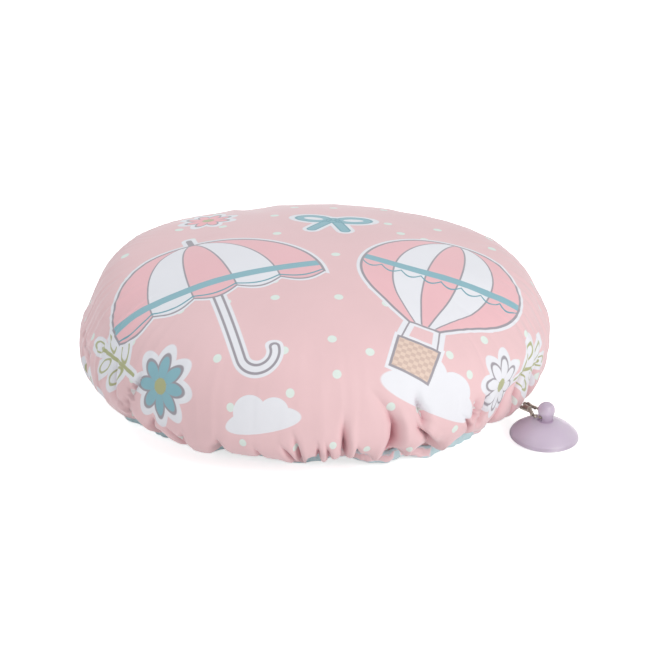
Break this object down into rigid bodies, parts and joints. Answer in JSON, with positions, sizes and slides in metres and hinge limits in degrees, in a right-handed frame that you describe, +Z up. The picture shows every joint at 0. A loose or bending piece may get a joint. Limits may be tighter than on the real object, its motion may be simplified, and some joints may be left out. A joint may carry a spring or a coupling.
{
  "type": "shower cap",
  "caption": "Puffed shower cap with a gathered elastic hem, a waterproof lining, and a ball chain and suction cup for hanging it up.",
  "frame": {"origin": "middle of the part's footprint, on the surface that it stands on; the cap's own axis is 5.3 mm to the -X side, because the suction cup lies on the +X side", "axes": "+Z up through the crown, +X towards the side where the suction cup lies, the picture looks along +Y"},
  "size_m": [0.2916, 0.2808, 0.098],
  "materials": {
    "crown_fabric": "satin-weave polyester, printed",
    "lining_film": "soft waterproof film",
    "binding_fabric": "plain-weave binding tape",
    "elastic": "braided elastic",
    "loop_cord": "round braided cord",
    "chain_steel": "nickel-plated, bright",
    "cup_vinyl": "soft translucent vinyl"
  },
  "bodies": {
    "cap": {"outer_shell": "crown_fabric", "waterproof_lining": "lining_film", "hem_binding": "binding_fabric", "hem_elastic": "elastic", "hanging_loop": "loop_cord"},
    "chain_hem_end": {"ball_01": "chain_steel", "link_01": "chain_steel", "ball_02": "chain_steel", "ball_26": "chain_steel", "link_26": "chain_steel", "link_02": "chain_steel", "ball_03": "chain_steel", "ball_25": "chain_steel", "link_25": "chain_steel", "link_03": "chain_steel", "ball_04": "chain_steel", "ball_24": "chain_steel", "link_24": "chain_steel", "link_04": "chain_steel", "ball_05": "chain_steel", "ball_23": "chain_steel", "link_23": "chain_steel"},
    "chain_second": {"link_05": "chain_steel", "ball_06": "chain_steel", "ball_22": "chain_steel", "link_22": "chain_steel"},
    "chain_clasped": {"link_06": "chain_steel", "ball_07": "chain_steel", "ball_21": "chain_steel", "link_21": "chain_steel", "link_07": "chain_steel", "ball_08": "chain_steel", "ball_20": "chain_steel", "chain_clasp": "chain_steel"},
    "chain_fourth": {"link_08": "chain_steel", "ball_09": "chain_steel", "ball_19": "chain_steel", "link_19": "chain_steel"},
    "chain_fifth": {"link_09": "chain_steel", "ball_10": "chain_steel", "ball_18": "chain_steel", "link_18": "chain_steel"},
    "chain_cup_end": {"link_10": "chain_steel", "ball_11": "chain_steel", "ball_17": "chain_steel", "link_17": "chain_steel", "link_11": "chain_steel", "ball_12": "chain_steel", "ball_16": "chain_steel", "link_16": "chain_steel", "link_12": "chain_steel", "ball_13": "chain_steel", "ball_15": "chain_steel", "link_15": "chain_steel", "link_13": "chain_steel", "ball_14": "chain_steel", "link_14": "chain_steel"},
    "hanger_cup": {"suction_cup": "cup_vinyl"}
  },
  "joints": [
    {"name": "chain_swing", "type": "hinge", "parent": "cap", "child": "chain_hem_end", "pos_m": [0.11039, -0.03819, 0.008], "axis": [0.891, 0.454, 0], "range_deg": [0, 90]},
    {"name": "chain_bend_1", "type": "hinge", "parent": "chain_hem_end", "child": "chain_second", "pos_m": [0.11527, -0.04777, 0.01149], "axis": [0.891, 0.454, 0], "range_deg": [0, 12]},
    {"name": "chain_bend_2", "type": "hinge", "parent": "chain_second", "child": "chain_clasped", "pos_m": [0.11667, -0.05052, 0.01234], "axis": [0.891, 0.454, 0], "range_deg": [0, 12]},
    {"name": "chain_bend_3", "type": "hinge", "parent": "chain_clasped", "child": "chain_fourth", "pos_m": [0.11962, -0.05631, 0.01366], "axis": [0.891, 0.454, 0], "range_deg": [0, 8]},
    {"name": "chain_bend_4", "type": "hinge", "parent": "chain_fourth", "child": "chain_fifth", "pos_m": [0.12106, -0.05914, 0.01406], "axis": [0.891, 0.454, 0], "range_deg": [0, 8]},
    {"name": "chain_bend_5", "type": "hinge", "parent": "chain_fifth", "child": "chain_cup_end", "pos_m": [0.12245, -0.06187, 0.01432], "axis": [0.891, 0.454, 0], "range_deg": [0, 5]},
    {"name": "cup_pivot", "type": "hinge", "parent": "chain_cup_end", "child": "hanger_cup", "pos_m": [0.12642, -0.06966, 0.01462], "axis": [0.891, 0.454, 0], "range_deg": [-40, 2]}
  ]
}
